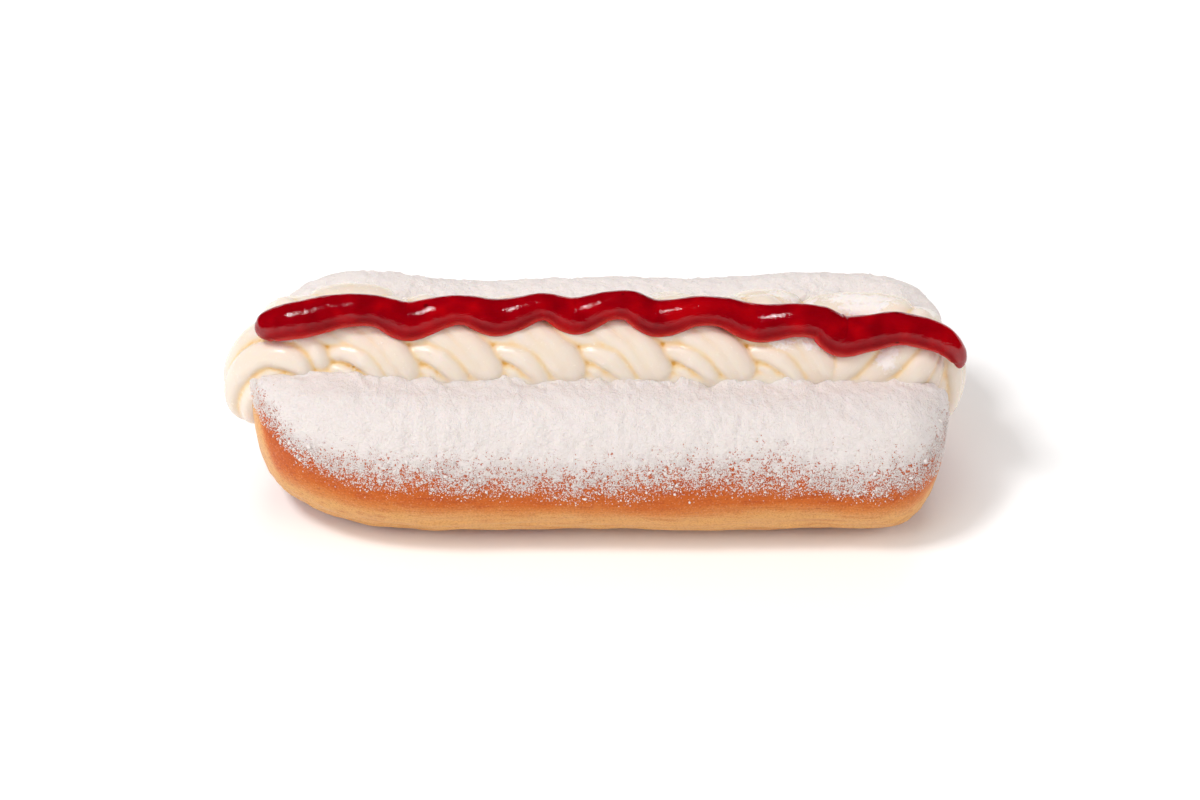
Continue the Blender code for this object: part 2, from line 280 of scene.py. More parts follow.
bunShape = {
    "left": -0.0893, "right": 0.0897,
    "halfWidth": 0.0378, "crownHeight": 0.0423, "crownOffset": 0.0205,
    "widestHeight": 0.0200, "baseHalfWidth": 0.0185,
    "lipOffset": 0.0150, "lipHeight": 0.0412, "slitBottom": 0.0140, "slitBow": 0.0012,
    "leftRound": (0.051, 2.4), "rightRound": (0.024, 2.7),   # length in plan, roundness
    "leftLift": (0.039, 2.3), "rightLift": (0.018, 2.5),     # the same for the rise of the underside
    "leftDrop": (0.006, 0.04), "rightDrop": (0.014, 0.22),   # length, share of the lip's height lost
    "farTuck": (0.0040, 0.016),              # how far in the far half's left tip lies, and over what length
    "stations": (50, 305, 42),               # along the left end, the middle and the right end
    "wallCells": 18, "cellSplit": 12,        # slit cells, crust cells to each of them
    # uneven rise of the crust: x, half width, height
    "nearSwells": ((-0.068, 0.024, 0.0019), (-0.002, 0.020, 0.0004)),
    "farSwells": ((-0.066, 0.017, 0.0039), (-0.030, 0.016, -0.0015), (0.008, 0.012, 0.0006),
                  (0.057, 0.020, 0.0020)),
    # where the coils of cream press the near lip down: x, half width, depth; a lump has a negative depth
    "lipNotches": ((-0.0387, 0.0026, 0.0017), (-0.0163, 0.0022, 0.0014), (0.0041, 0.0020, 0.0010),
                   (0.0282, 0.0022, 0.0024), (0.0500, 0.0032, -0.0012), (-0.0270, 0.0060, -0.0004),
                   (0.0090, 0.0050, -0.0004)),
    "paleTip": (0.60, 0.0075, 0.0010),       # share of the bake lost at the left tip, from and to where
    "sugarRise": 0.00030,                    # how far the sugar stands up where it covers all
}
dusting = {
    # height of its lower edge, how much higher that is at each end, height over which it thickens, and how
    # much less that is at the left end
    "edge": 0.0210, "edgeAtLeft": 0.0140, "edgeAtRight": 0.0015, "fade": 0.0120, "fadeAtLeft": 0.0030,
    # loose sugar: number of pieces, their middle radius, spread of the radius, share that lies off the fringe
    "fine": (20000, 0.00011, 0.30, 0.02),
    "grains": (15000, 0.00017, 0.28, 0.004),
    "lumps": (170, 0.00034, 0.25, 0.006),
}


def endFall(away, length, roundness):
    # (1 - (1 - away / length)^n)^(1/n): 0 at the end, 1 from length onwards
    share = np.clip(1 - away / length, 0, 1)
    return (1 - share**roundness) ** (1 / roundness)


def bothEnds(x, left, right):
    return np.minimum(endFall(np.abs(x - bunShape["left"]), *left),
                      endFall(np.abs(bunShape["right"] - x), *right))


def stationsAlong():
    # stations at the ends are even steps of the end curve, those between are even steps of x
    b = bunShape
    left, middle, right = b["stations"]
    ends = []
    for (length, roundness), count in ((b["leftRound"], left), (b["rightRound"], right)):
        fall = np.linspace(0, 0.93, count)
        ends.append(length * (1 - (1 - fall**roundness) ** (1 / roundness)))
    first = b["left"] + ends[0]
    last = b["right"] - ends[1][::-1]
    return np.concatenate([first, np.linspace(first[-1], last[0], middle + 2)[1:-1], last])


def sumOfBumps(x, bumps):
    # each bump is (x, half width, height)
    return sum(height * bump(x, centre, width) for centre, width, height in bumps)


def quarterCurve(centre, corner, roundness, turn):
    # quarter of a superellipse: centre + (corner - centre) * (sin^(2/n), cos^(2/n))
    reach = np.subtract(corner, centre)
    return centre + reach * vectors(np.sin(turn), np.cos(turn)) ** (2 / roundness)


def crustOutline(count):
    # half outline, lip to middle of the base, at even steps of length (wider steps under the base)
    b = bunShape
    turn = np.linspace(0, math.pi / 2, 200)
    crown, widest, base = b["crownOffset"], b["widestHeight"], b["baseHalfWidth"]
    line = np.concatenate([
        quarterCurve((crown, b["lipHeight"]), (b["lipOffset"], b["crownHeight"]), 2.0, turn[::-1]),
        quarterCurve((crown, widest), (b["halfWidth"], b["crownHeight"]), 2.1, turn[1:]),
        quarterCurve((base, widest), (b["halfWidth"], 0), 2.0, turn[::-1][1:]),
        np.linspace((base, 0), (0, 0), 60)[1:],
    ])
    steps = np.diff(lengthAlong(line))
    steps = np.where((line[1:, 1] < 0.0006) & (line[1:, 0] < 0.022), steps * 0.4, steps)
    length = np.concatenate([[0], np.cumsum(steps)])
    return readAt(line, length, np.linspace(0, length[-1], count + 1))


def slitOutline(count):
    # face of the slit from lip to bottom: y falls evenly, with a slight bow
    b = bunShape
    down = np.linspace(0, 1, count + 1)
    return vectors(b["lipOffset"] * (1 - down) + b["slitBow"] * np.sin(math.pi * down),
                   b["lipHeight"] + (b["slitBottom"] - b["lipHeight"]) * down)


def bunSurfaces():
    # crust: near lip, round underneath, to the far lip. Wall: near lip, slit bottom, far lip.
    # At each end the crust closes onto the slit's own edge, by the end curves above.
    # The third result is how high each point of the crust would lie half way along the bun.
    b = bunShape
    x = stationsAlong()[:, None]
    half = b["wallCells"] // 2 * b["cellSplit"]
    crust = crustOutline(half)
    slit = slitOutline(b["wallCells"] // 2)
    # the slit's line split as finely as the crust, straight between the wall's own points
    fine = readAt(slit, np.arange(len(slit)), np.arange(half + 1) / b["cellSplit"])
    across = bothEnds(x, b["leftRound"], b["rightRound"])
    upright = bothEnds(x, b["leftLift"], b["rightLift"])
    (leftDrop, leftShare), (rightDrop, rightShare) = b["leftDrop"], b["rightDrop"]
    height = 1 - (leftShare * (1 - endFall(x - b["left"], leftDrop, 2.0))
                  + rightShare * (1 - endFall(b["right"] - x, rightDrop, 2.0)))
    surfaces = []
    for line, target in ((crust, fine), (None, slit)):
        halves = []
        for far in (False, True):
            tuck, over = b["farTuck"]
            along = x + tuck * smoothStep(b["left"] + over, b["left"], x) * far
            rise = sumOfBumps(x, b["farSwells" if far else "nearSwells"])
            y, z = target.T
            z = z + rise * (z - b["slitBottom"]) / (b["lipHeight"] - b["slitBottom"])
            if line is not None:
                y = y + (line[:, 0] - y) * across
                z = z + (line[:, 1] + rise * line[:, 1] / b["crownHeight"] - z) * upright
            z = np.where(z > b["slitBottom"], b["slitBottom"] + (z - b["slitBottom"]) * height, z)
            halves.append(vectors(along, y if far else -y, z))
        surfaces.append(np.concatenate([halves[0], halves[1][:, -2::-1]], axis=1))
    bake = np.concatenate([crust[:, 1], crust[-2::-1, 1]])
    return *surfaces, np.broadcast_to(bake, surfaces[0].shape[:2])


def sugarDepth(points):
    # how deep the dusting lies: 0 at its lower edge, 1 where it covers all, rising evenly with height
    d = dusting
    x, z = points[..., 0], points[..., 2]
    wander = softNoise(points, (0.0022, 0.022, 3), (0.0014, 0.008, 4))
    left = smoothStep(-0.062, -0.0890, x) ** 2
    edge = d["edge"] + d["edgeAtLeft"] * left + wander + d["edgeAtRight"] * smoothStep(0.06, 0.085, x)
    return (z - edge) / (d["fade"] - d["fadeAtLeft"] * smoothStep(-0.052, -0.0890, x))


def crustRelief(crust, depth):
    # lift along the normal: soft waves, grains where sugar lies, and pulled layers in the pale band near the
    # base, which are noise drawn out along the bun. The ends and lips keep their place, and so does the base.
    y, z = crust[..., 1], crust[..., 2]
    rows = len(crust)
    edgeHold = smoothStep(0, 0.05, np.minimum(np.linspace(0, 1, rows), np.linspace(1, 0, rows)))[:, None]
    onBase = smoothStep(0.0030, 0.0004, z) * smoothStep(0.026, 0.020, np.abs(y))
    form = softNoise(crust, (0.00050, 0.020, 11), (0.00022, 0.007, 12))
    grain = softNoise(crust, (0.00034, 0.0024, 13), (0.00026, 0.0012, 14)) * depth
    band = smoothStep(0.0005, 0.004, z) * smoothStep(0.016, 0.009, z)
    layers = band * softNoise(crust * (0.16, 1, 1), (0.00036, 0.0021, 15), (0.00022, 0.0010, 16))
    return (form + grain + layers + bunShape["sugarRise"] * depth) * edgeHold * (1 - onBase)


def makeBun():
    b = bunShape
    crust, wall, bake = bunSurfaces()
    # the left tip, which touched its neighbour in the oven, stayed pale
    lost, start, end = b["paleTip"]
    bake = bake * (1 - lost * smoothStep(b["left"] + start, b["left"] + end, crust[..., 0]))
    rows, columns = crust.shape[:2]
    cells, split = b["wallCells"], b["cellSplit"]
    normal = -gridNormals(crust)
    if (normal[rows // 2, :, 2] * (crust[rows // 2, :, 2] - 0.02)).sum() < 0:
        normal = -normal
    rawDepth = sugarDepth(crust)
    lift = crustRelief(crust, np.clip(rawDepth, 0, 1))
    # ragged lips: the sugar stands up along them in small lumps, and the near one is pressed in by the coils
    fromNear, fromFar = (np.linalg.norm(crust - lip, axis=-1) for lip in (crust[:, :1], crust[:, -1:]))
    atLip = smoothStep(0.0062, 0.0012, np.where(crust[..., 1] < 0, fromNear, fromFar))
    ragged = softNoise(crust, (0.00070, 0.0036, 17), (0.00055, 0.0015, 18)) + b["sugarRise"]
    notch = sumOfBumps(crust[..., 0], b["lipNotches"])
    crust = crust + normal * lift[..., None]
    crust[..., 2] += atLip * ragged - smoothStep(0.0065, 0.0, fromNear) * notch
    # crust grid, then the wall's inner rows and columns; the wall shares the crust's rim
    index = np.arange(rows * columns).reshape(rows, columns)
    inner = np.arange((rows - 2) * (cells - 1)).reshape(rows - 2, cells - 1) + rows * columns
    points = np.concatenate([crust.reshape(-1, 3), wall[1:-1, 1:-1].reshape(-1, 3)])
    w = np.concatenate([index[1:-1, :1], inner, index[1:-1, -1:]], axis=1)
    wallQuads = vectors(w[:-1, 1:], w[:-1, :-1], w[1:, :-1], w[1:, 1:]).reshape(-1, 4)
    # each end of the wall fans out from its few points to the crust's many
    triangles = []
    for rim, near, turned in ((index[0], w[0], False), (index[-1], w[-1], True)):
        cell = np.repeat(np.arange(cells), split)
        step = np.tile(np.arange(split), cells)
        hub = np.where(step < split // 2, near[cell], near[cell + 1])
        fans = vectors(hub, rim[:-1], rim[1:])
        keep = (hub != rim[:-1]) & (hub != rim[1:])
        middles = vectors(near[:-1], rim[split // 2::split], near[1:])
        both = np.concatenate([fans[keep], middles])
        triangles.append(both if turned else both[:, ::-1])
    values = {"sugarDepth": (np.clip(rawDepth, 0, 1.7), 0), "crumb": (np.zeros(index.size), 1),
              "bakeHeight": (bake, b["crownHeight"])}
    layers = {name: np.append(crustValue, np.full(inner.size, wallValue))
              for name, (crustValue, wallValue) in values.items()}
    quads = np.concatenate([gridFaces(rows, columns, False), wallQuads])
    makePiece("bakedBun", ["bun"], "baked_crust", points, quads, np.concatenate(triangles), crustMaterial(),
              layers)
    return crust, normal, rawDepth


def crustMaterial():
    # Enriched dough, glazed and baked: a thin orange-brown skin, pale gold low down where the dough rose
    # last, under sifted icing sugar. The skin is satin and faintly translucent, the sugar is dead matt.
    made, tree, shader = newMaterial("baked dough crust under icing sugar")
    spot = (addNode(tree, "TexCoord"), "Object")
    depth, crumb, bake = ((addNode(tree, "Attribute", attribute_name=layer), "Fac")
                          for layer in ("sugarDepth", "crumb", "bakeHeight"))
    # the bake's tone follows the height on the loaf, which noise 12 mm across lifts or lowers by 1.5 mm
    drawn = addNode(tree, "Mapping", {"Vector": spot, "Scale": (0.35, 1, 1)})
    wander = addNode(tree, "TexNoise", {"Vector": drawn, "Scale": 85.0, "Detail": 4.0, "Roughness": 0.62})
    lowered = addNode(tree, "Math", {0: wander, 1: 0.009, 2: -0.0045}, operation="MULTIPLY_ADD")
    height = addNode(tree, "Math", {0: bake, 1: lowered})
    tone = addNode(tree, "MapRange", {"Value": height, "From Max": 0.040})
    baked = addNode(tree, "ValToRGB", {"Fac": tone}, [
        (0.0, "#b9601f"), (0.06, "#d3923f"), (0.18, "#e3b06c"), (0.33, "#e2aa66"), (0.40, "#d88842"),
        (0.47, "#cd691e"), (0.62, "#c45b15"), (1.0, "#b04810")])
    # golden streaks drawn out along the bun, about 1 mm apart
    streakSpot = addNode(tree, "Mapping", {"Vector": spot, "Scale": (0.09, 1, 1)})
    streak = addNode(tree, "TexNoise", {"Vector": streakSpot, "Scale": 900.0, "Detail": 4.0,
                                        "Roughness": 0.65})
    streakTone = addNode(tree, "ValToRGB", {"Fac": streak}, [
        (0.32, "#e0a878"), (0.50, "#ffffff"), (0.72, "#fff6e6")])
    streaked = addNode(tree, "Mix", {"Factor": 0.6, "A": baked, "B": streakTone}, data_type="RGBA",
                       blend_type="MULTIPLY")
    # mottle half a millimetre across, from the bubbles just under the skin
    mottle = addNode(tree, "TexNoise", {"Vector": spot, "Scale": 1900.0, "Detail": 3.0, "Roughness": 0.7})
    mottleTone = addNode(tree, "ValToRGB", {"Fac": mottle}, [
        (0.32, "#d2b49c"), (0.50, "#f6eee6"), (0.66, "#ffffff")])
    mottled = addNode(tree, "Mix", {"Factor": 0.8, "A": streaked, "B": mottleTone}, data_type="RGBA",
                      blend_type="MULTIPLY")
    # blisters in the skin, 0.8 mm apart, paler than the rest
    pore = addNode(tree, "TexVoronoi", {"Vector": spot, "Scale": 1300.0})
    pores = addNode(tree, "ValToRGB", {"Fac": pore}, [(0.08, 0.30), (0.36, 0.0)])
    skin = addNode(tree, "Mix", {"Factor": pores, "A": mottled, "B": "#efb78a"}, data_type="RGBA")
    inside = addNode(tree, "Mix", {"Factor": crumb, "A": skin, "B": "#f6e3c4"}, data_type="RGBA")
    # Clumps of 0.4, 0.8 and 3 mm add to the depth of the dusting, and it shows where the sum is over a
    # threshold. Each has its scale, its share in that sum and its share in the relief.
    lying = addNode(tree, "Math", {0: depth, 1: 2.0, 2: -0.62}, operation="MULTIPLY_ADD")
    heap = 2.0
    clumps = []
    for scale, share, heapShare in ((2700.0, 4.8, 2.2), (1200.0, 3.6, 3.4), (350.0, 2.2, 2.4)):
        clump = addNode(tree, "TexNoise", {"Vector": spot, "Scale": scale, "Detail": 2.0, "Roughness": 0.6})
        centred = addNode(tree, "Math", {0: clump, 1: share, 2: -share / 2}, operation="MULTIPLY_ADD")
        lying = addNode(tree, "Math", {0: centred, 1: lying})
        heap = addNode(tree, "Math", {0: centred, 1: heapShare / share, 2: heap}, operation="MULTIPLY_ADD")
        clumps.append(clump)
    heaped = addNode(tree, "MapRange", {"Value": lying, "From Min": 0.30, "From Max": 0.62},
                     interpolation_type="SMOOTHSTEP")
    onFringe = addNode(tree, "MapRange", {"Value": depth, "From Max": 0.15})
    cover = addNode(tree, "Math", {0: heaped, 1: onFringe}, operation="MULTIPLY")
    # a thin film of the finest dust pales the skin before it covers it
    dusted = addNode(tree, "MapRange", {"Value": lying, "From Min": -0.25, "From Max": 0.75, "To Max": 0.38},
                     interpolation_type="SMOOTHSTEP")
    film = addNode(tree, "Math", {0: dusted, 1: onFringe}, operation="MULTIPLY")
    filmed = addNode(tree, "Mix", {"Factor": film, "A": inside, "B": "#dccbc2"}, data_type="RGBA")
    sugar = addNode(tree, "Mix", {"Factor": clumps[1], "A": "#dfd5d1", "B": "#ede4e0"}, data_type="RGBA")
    colour = addNode(tree, "Mix", {"Factor": cover, "A": filmed, "B": sugar}, data_type="RGBA")
    matt = addNode(tree, "MapRange", {"Value": film, "From Max": 0.3, "To Min": 0.40, "To Max": 0.95})
    # sugar stands about 0.3 mm proud of the skin and is grainy on top
    relief = addNode(tree, "Math", {0: cover, 1: heap}, operation="MULTIPLY")
    bare = addNode(tree, "MapRange", {"Value": cover, "To Min": 0.6, "To Max": 0.0})
    skinRelief = addNode(tree, "Math", {0: streak, 1: bare, 2: relief}, operation="MULTIPLY_ADD")
    bumped = addNode(tree, "Bump", {"Height": skinRelief, "Strength": 0.55, "Distance": 0.0004})
    fillInputs(shader, {"Base Color": colour, "Roughness": matt, "Normal": bumped, "IOR": 1.45,
                        "Specular IOR Level": 0.25, "Subsurface Weight": 0.12, "Subsurface Scale": 0.0012,
                        "Subsurface Radius": (1.0, 0.5, 0.25)})
    return made


crustPoints, crustNormals, crustSugar = makeBun()
print("bun is baked:", crustPoints.shape[0] * crustPoints.shape[1], "points in its crust")


def scatterOn(points, normals, weight, count, rng):
    # places on a grid of points, each cell as likely as its area times its weight, even within a cell
    corners = [points[:-1, :-1], points[1:, :-1], points[1:, 1:], points[:-1, 1:]]
    area = np.linalg.norm(np.cross(corners[2] - corners[0], corners[3] - corners[1]), axis=-1) / 2
    chance = np.cumsum((area * weight[:-1, :-1]).reshape(-1))
    cell = np.searchsorted(chance, rng.random(count) * chance[-1])
    u, v = rng.random((2, count, 1))
    a, b, c, d = (corner.reshape(-1, 3)[cell] for corner in corners)
    spots = a * (1 - u) * (1 - v) + b * u * (1 - v) + c * u * v + d * (1 - u) * v
    return spots, normals[:-1, :-1].reshape(-1, 3)[cell]


def randomTurns(count, rng):
    # rotation matrices from unit quaternions drawn evenly
    w, x, y, z = unit(rng.normal(size=(count, 4))).T
    return vectors(1 - 2 * (y * y + z * z), 2 * (x * y - w * z), 2 * (x * z + w * y),
                   2 * (x * y + w * z), 1 - 2 * (x * x + z * z), 2 * (y * z - w * x),
                   2 * (x * z - w * y), 2 * (y * z + w * x), 1 - 2 * (x * x + y * y)).reshape(-1, 3, 3)


def lumpForm(level):
    # octahedron, its faces split into four and its corners put on a sphere as often as level says
    corners = np.array([(1, 0, 0), (-1, 0, 0), (0, 1, 0), (0, -1, 0), (0, 0, 1), (0, 0, -1)], float)
    faces = np.array([(0, 2, 4), (2, 1, 4), (1, 3, 4), (3, 0, 4), (2, 0, 5), (1, 2, 5), (3, 1, 5), (0, 3, 5)])
    for _ in range(level):
        sides = vectors(faces, np.roll(faces, -1, axis=1)).reshape(-1, 2)
        pairs, number = np.unique(np.sort(sides, axis=1), axis=0, return_inverse=True)
        a, b, c = faces.T
        ab, bc, ca = (number.reshape(-1, 3) + len(corners)).T
        corners = unit(np.concatenate([corners, corners[pairs].mean(axis=1)]))
        faces = np.concatenate([vectors(a, ab, ca), vectors(b, bc, ab), vectors(c, ca, bc),
                                vectors(ab, bc, ca)])
    return corners, faces


def makeLumps(name, spots, normals, radius, spread, material, rng):
    # each lump: the form's corners times a random length, stretched by its own three sizes, turned its own
    # way, and sunk into what it lies on, so that its middle is a third of its radius above that
    corners, faces = lumpForm(int(name == "lumps"))
    count = len(spots)
    size = radius * np.exp(spread * rng.normal(size=(count, 1, 1)))
    form = corners[None] * (1 + 0.22 * rng.normal(size=(count, len(corners), 1)))
    form = form * rng.uniform(0.7, 1.25, (count, 1, 3))
    points = np.einsum("nij,nkj->nki", randomTurns(count, rng), form) * size
    points += (spots + normals * size[:, 0] * 0.35)[:, None]
    triangles = faces[None] + np.arange(count)[:, None, None] * len(corners)
    makePiece(name + "Sugar", [], "baked_crust", points, None, triangles.reshape(-1, 3), material)


def sugarMaterial():
    # icing sugar as sifted: a dead matt white powder, faintly warm
    made, _, shader = newMaterial("icing sugar, sifted")
    fillInputs(shader, {"Base Color": "#e9e0dc", "Roughness": 1.0, "Specular IOR Level": 0.15})
    return made


def makeDusting():
    # loose sugar: most of it in the fringe, where the dusting thins out, some on the whole of it
    rng = np.random.default_rng(7)
    sugar = sugarMaterial()
    fringe = smoothStep(-0.15, 0.45, crustSugar) * smoothStep(1.1, 0.55, crustSugar)
    clumped = smoothStep(-0.35, 0.45, softNoise(crustPoints, (1, 0.0030, 41), (0.5, 0.0012, 42)))
    for name in ("fine", "grains", "lumps"):
        count, radius, spread, offFringe = dusting[name]
        weight = fringe * (0.35 + clumped) + offFringe * (crustSugar > 0.45)
        spots, normals = scatterOn(crustPoints, crustNormals, weight, count, rng)
        makeLumps(name, spots, normals, radius, spread, sugar, rng)


makeDusting()
print("sugar is sifted over the bun")


creamShape = {
    "ropeOffset": -0.0010, "ropeHeight": 0.0395,   # the rope's middle line, in Y and Z
    "crest": 0.0168,                               # middle line to the crest of a ridge
    "lipAt": 0.0215,                               # round the rope from straight up to the bun's lip
    # each coil: x of the crease at its left where it meets the lip, its size beside the ridges below, and how
    # far its back sinks, in mm
    "coils": ((-0.0668, 0.98, 2.2), (-0.0458, 1.00, 2.6), (-0.0240, 0.97, 2.8), (-0.0026, 0.99, 2.6),
              (0.0187, 1.04, 2.2), (0.0410, 0.96, 2.0)),
    # The ridges of one coil, in mm: points (right of its corner, up the skin from the lip), then half width,
    # half height, and how far the crest lies under the rope's own at the start, the middle and the end.
    # They run from the back over the top and hook down to the lip, one inside the other: the outer one, the
    # second, the third, the hook and the tip.
    "ridges": (
        (((-7.0, 44.0), (-5.0, 37.0), (-2.5, 30.5), (0.2, 25.0), (2.8, 20.3), (5.6, 16.2), (9.1, 12.4),
          (12.8, 8.6), (15.8, 4.2), (17.6, 0.4), (18.9, -4.0)), 4.4, 3.0, (0.5, -0.1, 0.0)),
        (((-15.5, 44.0), (-14.0, 37.0), (-11.5, 30.5), (-8.5, 25.0), (-5.0, 20.0), (-1.2, 15.8), (2.8, 12.8),
          (6.4, 10.0), (10.2, 6.9), (13.6, 2.8), (15.4, -0.6), (16.8, -4.0)), 3.6, 2.7, (0.5, 0.0, 0.4)),
        (((-21.5, 44.0), (-20.0, 37.0), (-17.5, 30.5), (-14.5, 25.0), (-11.2, 20.0), (-8.0, 15.6),
          (-4.2, 12.2), (0.5, 11.0), (4.4, 9.8), (7.4, 7.8)), 3.2, 2.6, (0.5, 0.3, 1.1)),
        (((-4.5, 5.4), (-2.0, 6.0), (0.8, 6.2), (3.6, 5.5), (6.1, 3.9), (8.2, 1.6), (9.7, -1.0),
          (10.8, -4.0)), 3.3, 2.9, (2.6, 0.2, 0.4)),
        (((-2.6, 1.2), (0.4, 1.0), (2.8, 0.0), (4.8, -1.8), (6.0, -4.5)), 1.9, 1.9, (2.4, 1.3, 1.3)),
    ),
    # at the right end the ridges run up to the right: points (x, up from the lip) and half width, in mm
    "turnBacks": (
        (((57.0, -5.0), (60.6, -0.6), (64.4, 4.0), (68.6, 9.0), (72.6, 14.2), (75.6, 20.0), (77.2, 26.0)),
         4.5),
        (((66.5, -5.0), (70.6, -0.2), (74.6, 4.6), (78.8, 9.6), (82.4, 15.0), (84.8, 21.0)), 4.6),
        (((75.6, -7.5), (80.0, -2.0), (83.8, 3.2), (87.6, 9.0), (91.4, 15.0)), 4.8),
        (((83.6, -11.0), (88.6, -5.0), (92.6, 0.6), (96.6, 6.5), (100.0, 13.0)), 5.4)),
    # low swells where a coil crosses the top, behind the jam: x, half width, how far below the crest, in mm
    "swells": ((-64.0, 11.0, -1.0), (17.5, 7.0, 1.2), (42.5, 9.0, 0.4), (66.0, 13.0, 1.2)),
    "domeFrom": 0.0790, "domeRoom": 0.0105,     # where each end starts to round off, and how far it goes on
    # sugar caught on the cream: x, place round the rope, half length, half width, thickness from 0 to 1
    "dust": ((0.0690, 0.0005, 0.0090, 0.0040, 1.0), (0.0460, 0.0120, 0.0050, 0.0028, 0.6),
             (0.0545, 0.0115, 0.0060, 0.0030, 0.6), (0.0780, 0.0085, 0.0055, 0.0045, 1.0),
             (0.0735, 0.0165, 0.0032, 0.0045, 1.0), (0.0700, -0.0040, 0.0130, 0.0045, 1.0),
             (0.0500, -0.0060, 0.0110, 0.0040, 0.7), (0.0330, -0.0050, 0.0080, 0.0035, 0.7),
             (0.0840, -0.0050, 0.0060, 0.0060, 0.9), (-0.0800, 0.0110, 0.0050, 0.0016, 0.7),
             (-0.0420, -0.0080, 0.0110, 0.0040, 0.6), (0.0040, -0.0070, 0.0160, 0.0040, 0.6)),
    # strands over the left and the right end: x, y, z and radius at points along the middle of each
    "falls": (((-0.0660, -0.0085, 0.0400, 0.0085), (-0.0730, -0.0060, 0.0425, 0.0106),
               (-0.0810, -0.0048, 0.0415, 0.0112), (-0.0866, -0.0050, 0.0365, 0.0104),
               (-0.0890, -0.0045, 0.0290, 0.0086), (-0.0895, -0.0045, 0.0200, 0.0062)),
              ((0.0760, -0.0010, 0.0370, 0.0104), (0.0845, -0.0030, 0.0375, 0.0098),
               (0.0872, -0.0045, 0.0320, 0.0082), (0.0870, -0.0050, 0.0215, 0.0056))),
    # their teeth, how deep the creases between those are, and how far in the section may reach
    "teeth": 7, "toothDepth": 0.22, "fallInner": 0.0070,
    # what lies under the ridges, and what fills the slit: lowest and highest z, y, radius of its round back
    "core": (0.0365, 1.0, -0.0010, 0.0119), "wedge": (0.0144, 0.0385, 0, 0.0142),
    "coreEnds": (-0.0888, 0.0892),
    "voxel": 0.00051,
}


def roundTheRope(x, angle, reach):
    # points at a distance from the rope's middle line, at an angle forward of straight up
    c = creamShape
    return vectors(x, c["ropeOffset"] - reach * np.sin(angle), c["ropeHeight"] + reach * np.cos(angle))


def angles(sides):
    # even steps once round a section
    return np.linspace(0, 2 * math.pi, sides, endpoint=False)[None, :]


def roundedEnds(count, sharpness):
    # sqrt(1 - |t|^n): full along the strand, closing at each tip
    along = np.linspace(-1, 1, count)
    return np.maximum(1 - np.abs(along) ** sharpness, 0.0004) ** 0.5


def ridgeOnRope(points, halfWidth, halfHeight, sink, low, seed, stations=110, sides=30):
    # A ridge laid on the rope along points (x, s) of its unrolled skin: s runs round it, 0 at the top and
    # forward of it positive. Section: across = w * sin(a), reach = crest - sink - h * (1 - cos(a)).
    # The rope's back lies lower by low.
    c = creamShape
    path = smoothCurve(points, 400)
    length = lengthAlong(path)
    at = np.linspace(0, length[-1], stations)
    path = readAt(path, length, at)
    tangent = unit(np.gradient(path, axis=0))
    sideways = vectors(tangent[:, 1], -tangent[:, 0])
    turn = angles(sides)
    spot = vectors(0.004 * np.sin(turn), at[:, None], seed * 0.05)  # each ridge reads noise of its own
    close = roundedEnds(stations, 12)[:, None]
    width = halfWidth * close * (1 + softNoise(spot[:, :1] * (0, 1, 1), (0.10, 0.009, 22)))
    sunk = np.interp(np.linspace(0, 1, stations), (0, 0.5, 0.85, 1), (*sink, sink[2]))[:, None]
    sunk = sunk + low * smoothStep(-0.001, -0.009, path[:, 1:])
    waver = softNoise(spot, (0.00026, 0.0075, 23), (0.00010, 0.0028, 24))
    reach = c["crest"] - sunk + waver - halfHeight * (1 - close * np.cos(turn))
    x, s = np.moveaxis(path[:, None] + (width * np.sin(turn))[..., None] * sideways[:, None], -1, 0)
    # both ends of the rope are domed: x past the dome's start is drawn in by tanh, and the reach shrinks
    for end in (-1, 1):
        past = np.maximum(end * x - c["domeFrom"], 0) / c["domeRoom"]
        x = np.where(past > 0, end * (c["domeFrom"] + c["domeRoom"] * np.tanh(past)), x)
        reach = reach * (1 - np.tanh(past) ** 2) ** 0.30
    return roundTheRope(x, s / c["crest"], reach)


def ropeRidges():
    # every ridge of every coil, each coil a little different, then the ridges at the right end, the swells,
    # and a plain bead along each lip, behind the tips of the ridges
    c = creamShape
    rng = np.random.default_rng(3)
    ridges = []  # points, half width, half height, sinks, how much lower the back lies
    for corner, size, low in c["coils"]:
        for points, halfWidth, halfHeight, sink in c["ridges"]:
            shift = rng.normal(size=2) * (0.35, 0.30)
            across, up = (np.array(points) * (size, 1) + shift).T * mm
            width = halfWidth * mm * (1 + 0.05 * rng.normal())
            ridges.append((vectors(corner + across, c["lipAt"] - up), width, halfHeight, sink, low))
    for points, halfWidth in c["turnBacks"]:
        x, up = np.array(points).T * mm
        ridges.append((vectors(x, c["lipAt"] - up), halfWidth * mm, 2.8, (0.6, 0.2, 0.5), 2.2))
    for x, halfWidth, sink in c["swells"]:
        line = np.array([(x - 1.0, 4.0), (x, -3.0), (x + 0.5, -10.0), (x + 0.5, -18.0), (x, -26.0)]) * mm
        ridges.append((line, halfWidth * mm, 3.0, (2.0, sink, 5.0), 0))
    for s, sink in ((c["lipAt"] + 0.0028, 0.9), (-c["lipAt"] - 0.0010, 2.8)):
        bead = [(x, s) for x in (-0.084, -0.042, 0.0, 0.042, 0.086)]
        ridges.append((bead, 4 * mm, 3, (sink, sink, sink), 0))
    return [ridgeOnRope(line, width, height * mm, np.array(sink) * mm, low * mm, seed,
                        180 if seed >= len(ridges) - 2 else 110)
            for seed, (line, width, height, sink, low) in enumerate(ridges)]


def framesAlong(path, outward):
    # outward and sideways directions, square to the path and to each other
    tangent = unit(np.gradient(path, axis=0))
    side = unit(np.cross(tangent, outward))
    return np.cross(side, tangent), side


def tubeAlong(path, out, side, up, across):
    # points of each section: path + up * out + across * side
    return path[:, None] + up[..., None] * out[:, None] + across[..., None] * side[:, None]


